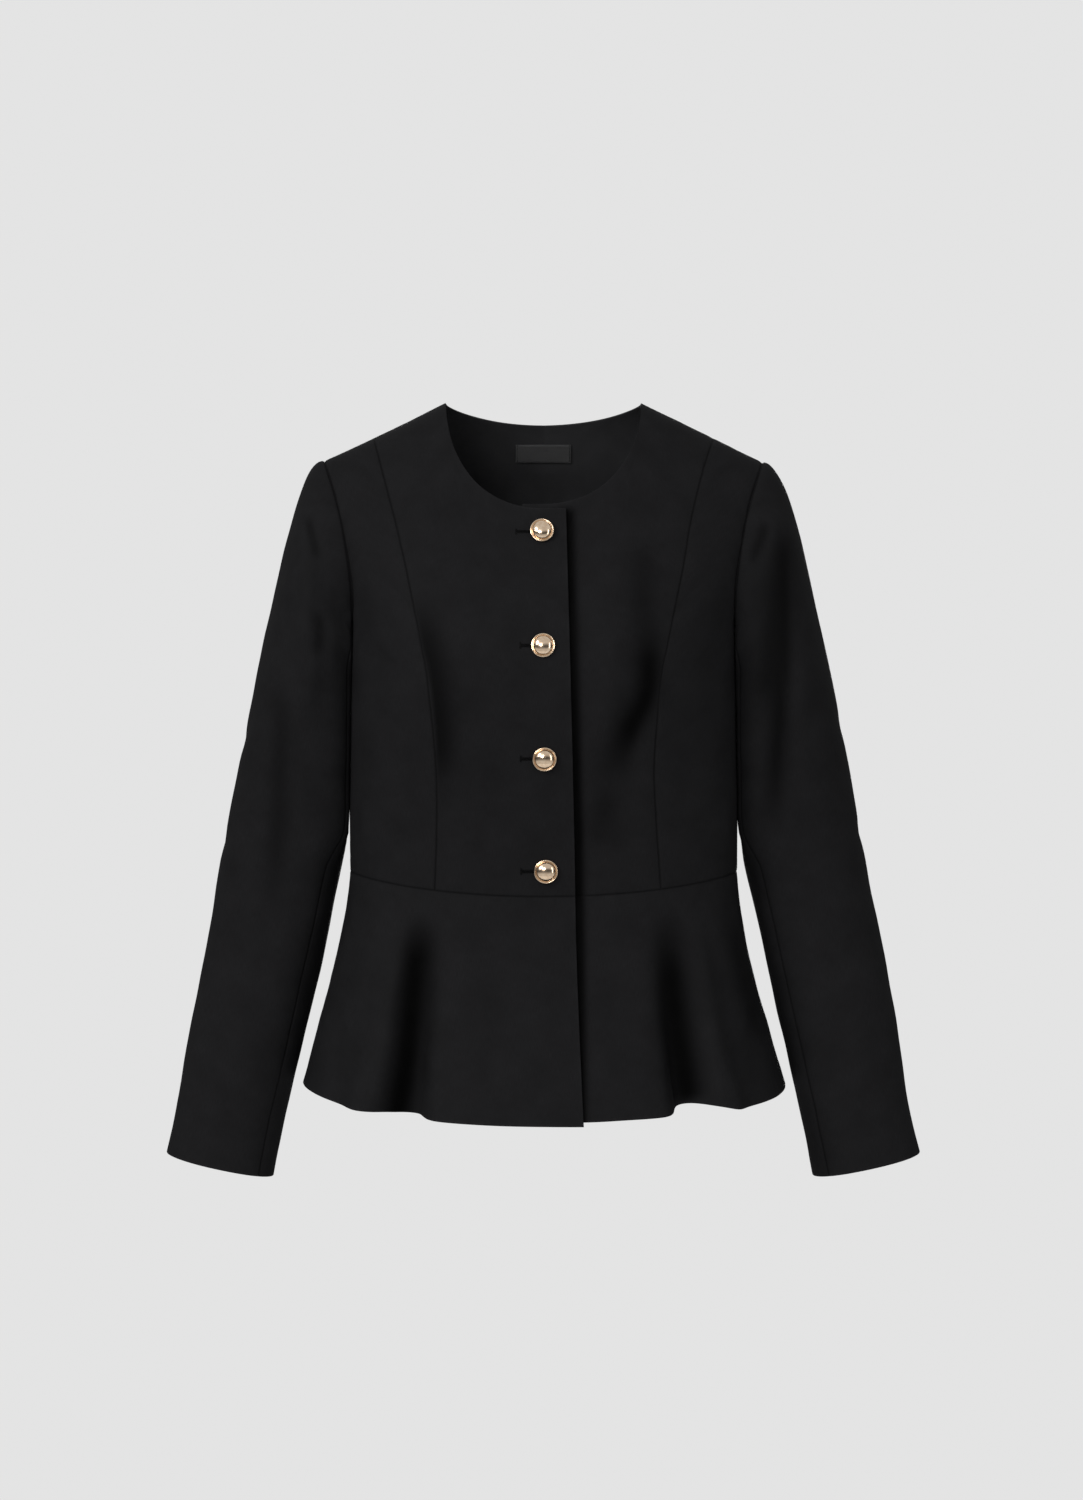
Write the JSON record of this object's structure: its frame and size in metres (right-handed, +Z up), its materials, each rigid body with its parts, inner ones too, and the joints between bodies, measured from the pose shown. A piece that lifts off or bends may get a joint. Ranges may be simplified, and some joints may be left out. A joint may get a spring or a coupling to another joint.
{
  "type": "peplum jacket",
  "caption": "Collarless fitted jacket with princess seams, a waist seam, a flared peplum, long sleeves and domed metal buttons, in its hollow worn form.",
  "frame": {"origin": "midway between the two points where the neckline meets the shoulder seams, where the wearer's shoulders hold the jacket", "axes": "+Z up, -Y forward out of the wearer's chest, +X towards the wearer's left"},
  "size_m": [0.6312, 0.2618, 0.6488],
  "materials": {
    "suiting_cloth": "smooth fine weave, matt black with a low soft sheen",
    "button_gold": "polished pale gold",
    "label_weave": "satin-woven black tape"
  },
  "bodies": {
    "root": {"front_right_centre": "suiting_cloth", "front_right_side": "suiting_cloth", "front_left_centre": "suiting_cloth", "front_left_side": "suiting_cloth", "back_right": "suiting_cloth", "back_left": "suiting_cloth", "peplum_front_right": "suiting_cloth", "peplum_front_left": "suiting_cloth", "peplum_back": "suiting_cloth", "sleeve_right_upper": "suiting_cloth", "sleeve_right_under": "suiting_cloth", "sleeve_left_upper": "suiting_cloth", "sleeve_left_under": "suiting_cloth", "button_1": "button_gold", "button_2": "button_gold", "button_3": "button_gold", "button_4": "button_gold", "neck_label": "label_weave"}
  },
  "joints": []
}
